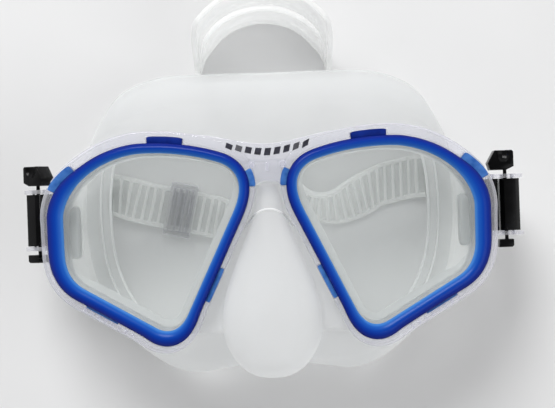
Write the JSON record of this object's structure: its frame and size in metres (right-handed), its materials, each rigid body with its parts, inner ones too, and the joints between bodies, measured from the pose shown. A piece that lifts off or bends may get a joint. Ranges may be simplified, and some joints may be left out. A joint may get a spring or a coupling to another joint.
{
  "type": "diving mask",
  "caption": "Diving mask with a clear frame, blue lens rings, tempered glass, frosted silicone skirt with nose pocket, and a split strap on swivelling quick-release buckles.",
  "frame": {"origin": "middle of the footprint on the surface that the mask lies on", "axes": "+X towards the buckle at the right as seen from the front, +Y towards the forehead, +Z the way the lenses face"},
  "size_m": [0.1854, 0.145, 0.08],
  "materials": {
    "clear_polycarbonate": "clear polished",
    "blue_plastic": "satin, deep translucent blue",
    "black_plastic": "satin moulded",
    "frosted_silicone": "frosted translucent",
    "clear_silicone": "clear glossy",
    "tempered_glass": "polished, faint green edge",
    "stainless_steel": "polished"
  },
  "bodies": {
    "root": {"frame": "clear_polycarbonate", "skirt": "frosted_silicone", "strap": "clear_silicone", "lens_ring_left": "blue_plastic", "lens_left": "tempered_glass", "buckle_anchor_left": "black_plastic", "swivel_pin_left": "stainless_steel", "strap_end_left": "clear_silicone", "lens_ring_right": "blue_plastic", "lens_right": "tempered_glass", "buckle_anchor_right": "black_plastic", "swivel_pin_right": "stainless_steel", "strap_end_right": "clear_silicone"},
    "keeper": {"strap_keeper": "clear_polycarbonate"},
    "buckle_left": {"buckle_frame_left": "clear_polycarbonate", "buckle_cover_left": "black_plastic", "roller_axle_left": "stainless_steel", "pawl_pin_left": "stainless_steel", "return_spring_left": "stainless_steel"},
    "roller_left": {"strap_roller_left": "black_plastic"},
    "pawl_left": {"strap_pawl_left": "black_plastic"},
    "button_upper_left": {"release_button_upper_left": "black_plastic"},
    "button_lower_left": {"release_button_lower_left": "black_plastic"},
    "buckle_right": {"buckle_frame_right": "clear_polycarbonate", "buckle_cover_right": "black_plastic", "roller_axle_right": "stainless_steel", "pawl_pin_right": "stainless_steel", "return_spring_right": "stainless_steel"},
    "roller_right": {"strap_roller_right": "black_plastic"},
    "pawl_right": {"strap_pawl_right": "black_plastic"},
    "button_upper_right": {"release_button_upper_right": "black_plastic"},
    "button_lower_right": {"release_button_lower_right": "black_plastic"}
  },
  "joints": [
    {"name": "keeper_slide", "type": "slide", "parent": "root", "child": "keeper", "axis": [0.9744, -0.225, 0], "range_m": [-0.006, 0.006]},
    {"name": "buckle_swivel_left", "type": "hinge", "parent": "root", "child": "buckle_left", "pos_m": [-0.08361, -0.01161, 0.046], "axis": [0, 1, 0], "range_deg": [-4, 94], "deforming": ["strap_end_left"]},
    {"name": "roller_spin_left", "type": "hinge", "parent": "buckle_left", "child": "roller_left", "pos_m": [-0.08205, -0.01161, 0.03244], "axis": [0, 1, 0], "continuous": true},
    {"name": "button_upper_press_left", "type": "slide", "parent": "buckle_left", "child": "button_upper_left", "axis": [0, -1, 0], "range_m": [0, 0.0012], "stiffness_N_per_m": 500, "springref_m": -0.001, "deforming": ["return_spring_left"]},
    {"name": "button_lower_press_left", "type": "slide", "parent": "buckle_left", "child": "button_lower_left", "axis": [0, 1, 0], "range_m": [0, 0.0012]},
    {"name": "pawl_lift_left", "type": "hinge", "parent": "buckle_left", "child": "pawl_left", "pos_m": [-0.08924, -0.01166, 0.03974], "axis": [0, 1, 0], "range_deg": [0, 8.05]},
    {"name": "buckle_swivel_right", "type": "hinge", "parent": "root", "child": "buckle_right", "pos_m": [0.08039, -0.01161, 0.046], "axis": [0, -1, 0], "range_deg": [-38, 60], "deforming": ["strap_end_right"]},
    {"name": "roller_spin_right", "type": "hinge", "parent": "buckle_right", "child": "roller_right", "pos_m": [0.08689, -0.01161, 0.034], "axis": [0, -1, 0], "continuous": true},
    {"name": "button_upper_press_right", "type": "slide", "parent": "buckle_right", "child": "button_upper_right", "axis": [0, -1, 0], "range_m": [0, 0.0012], "stiffness_N_per_m": 500, "springref_m": -0.001, "deforming": ["return_spring_right"]},
    {"name": "button_lower_press_right", "type": "slide", "parent": "buckle_right", "child": "button_lower_right", "axis": [0, 1, 0], "range_m": [0, 0.0012]},
    {"name": "pawl_lift_right", "type": "hinge", "parent": "buckle_right", "child": "pawl_right", "pos_m": [0.08859, -0.01166, 0.0441], "axis": [0, -1, 0], "range_deg": [0, 8.05]}
  ],
  "couplings": [
    {"joint": "button_lower_press_left", "follows": "button_upper_press_left", "ratio": 1},
    {"joint": "pawl_lift_left", "follows": "button_upper_press_left", "rad_per_m": 116.36},
    {"joint": "button_lower_press_right", "follows": "button_upper_press_right", "ratio": 1},
    {"joint": "pawl_lift_right", "follows": "button_upper_press_right", "rad_per_m": 116.36}
  ]
}
